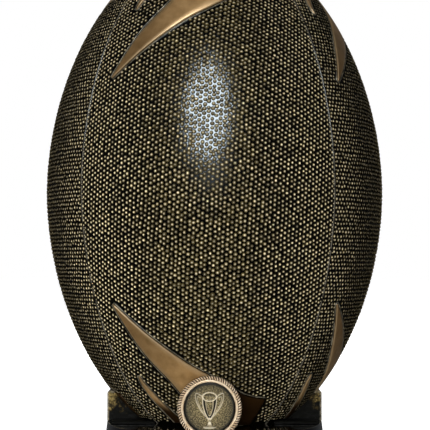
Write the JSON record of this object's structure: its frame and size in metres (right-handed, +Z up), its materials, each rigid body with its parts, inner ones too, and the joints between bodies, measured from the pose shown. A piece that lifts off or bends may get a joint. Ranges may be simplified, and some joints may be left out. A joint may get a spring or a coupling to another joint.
{
  "type": "rugby ball trophy",
  "caption": "Award trophy: a pebbled rugby ball with flame inlays stands on end in a low cradle on a bow-fronted plinth, with a rope-edged medallion showing a cup.",
  "frame": {"origin": "middle of the underside of the felt pad", "axes": "+Z up along the ball's long axis, front with the medallion towards -Y, +X to the viewer's right"},
  "size_m": [0.176, 0.176, 0.2761],
  "materials": {
    "ball": "cast resin, black with antique gold dry-brushed on the pebbles, gloss varnish",
    "flame": "smooth antique gold paint, satin",
    "cradle": "mottled bronze paint over black, gloss varnish",
    "plinth": "cast resin, gloss black",
    "bezel": "bright copper gold with dark hollows, satin",
    "disc": "speckled olive gold, satin",
    "resin": "bare cast resin",
    "brass": "machined",
    "steel": "zinc plated",
    "adhesive": "foam adhesive pad",
    "felt": "black felt"
  },
  "bodies": {
    "root": {"ball_shell": "ball", "large_flame_top_front": "flame", "small_flame_top_front": "flame", "large_flame_bottom_front": "flame", "small_flame_bottom_front": "flame", "large_flame_top_right": "flame", "small_flame_top_right": "flame", "large_flame_bottom_right": "flame", "small_flame_bottom_right": "flame", "large_flame_top_back": "flame", "small_flame_top_back": "flame", "large_flame_bottom_back": "flame", "small_flame_bottom_back": "flame", "large_flame_top_left": "flame", "small_flame_top_left": "flame", "large_flame_bottom_left": "flame", "small_flame_bottom_left": "flame", "plinth": "plinth", "cradle_cheek_right": "cradle", "cradle_cheek_left": "cradle", "cradle_screw_right_front": "steel", "cradle_screw_right_back": "steel", "cradle_screw_left_back": "steel", "cradle_screw_left_front": "steel", "ballast_plate": "steel", "bolt_washer": "steel", "tie_bolt": "steel", "ball_bung": "resin", "threaded_insert": "brass", "felt_pad": "felt", "medallion_holder": "cradle", "medallion_bezel": "bezel", "disc_adhesive": "adhesive", "medallion_disc": "disc"}
  },
  "joints": []
}
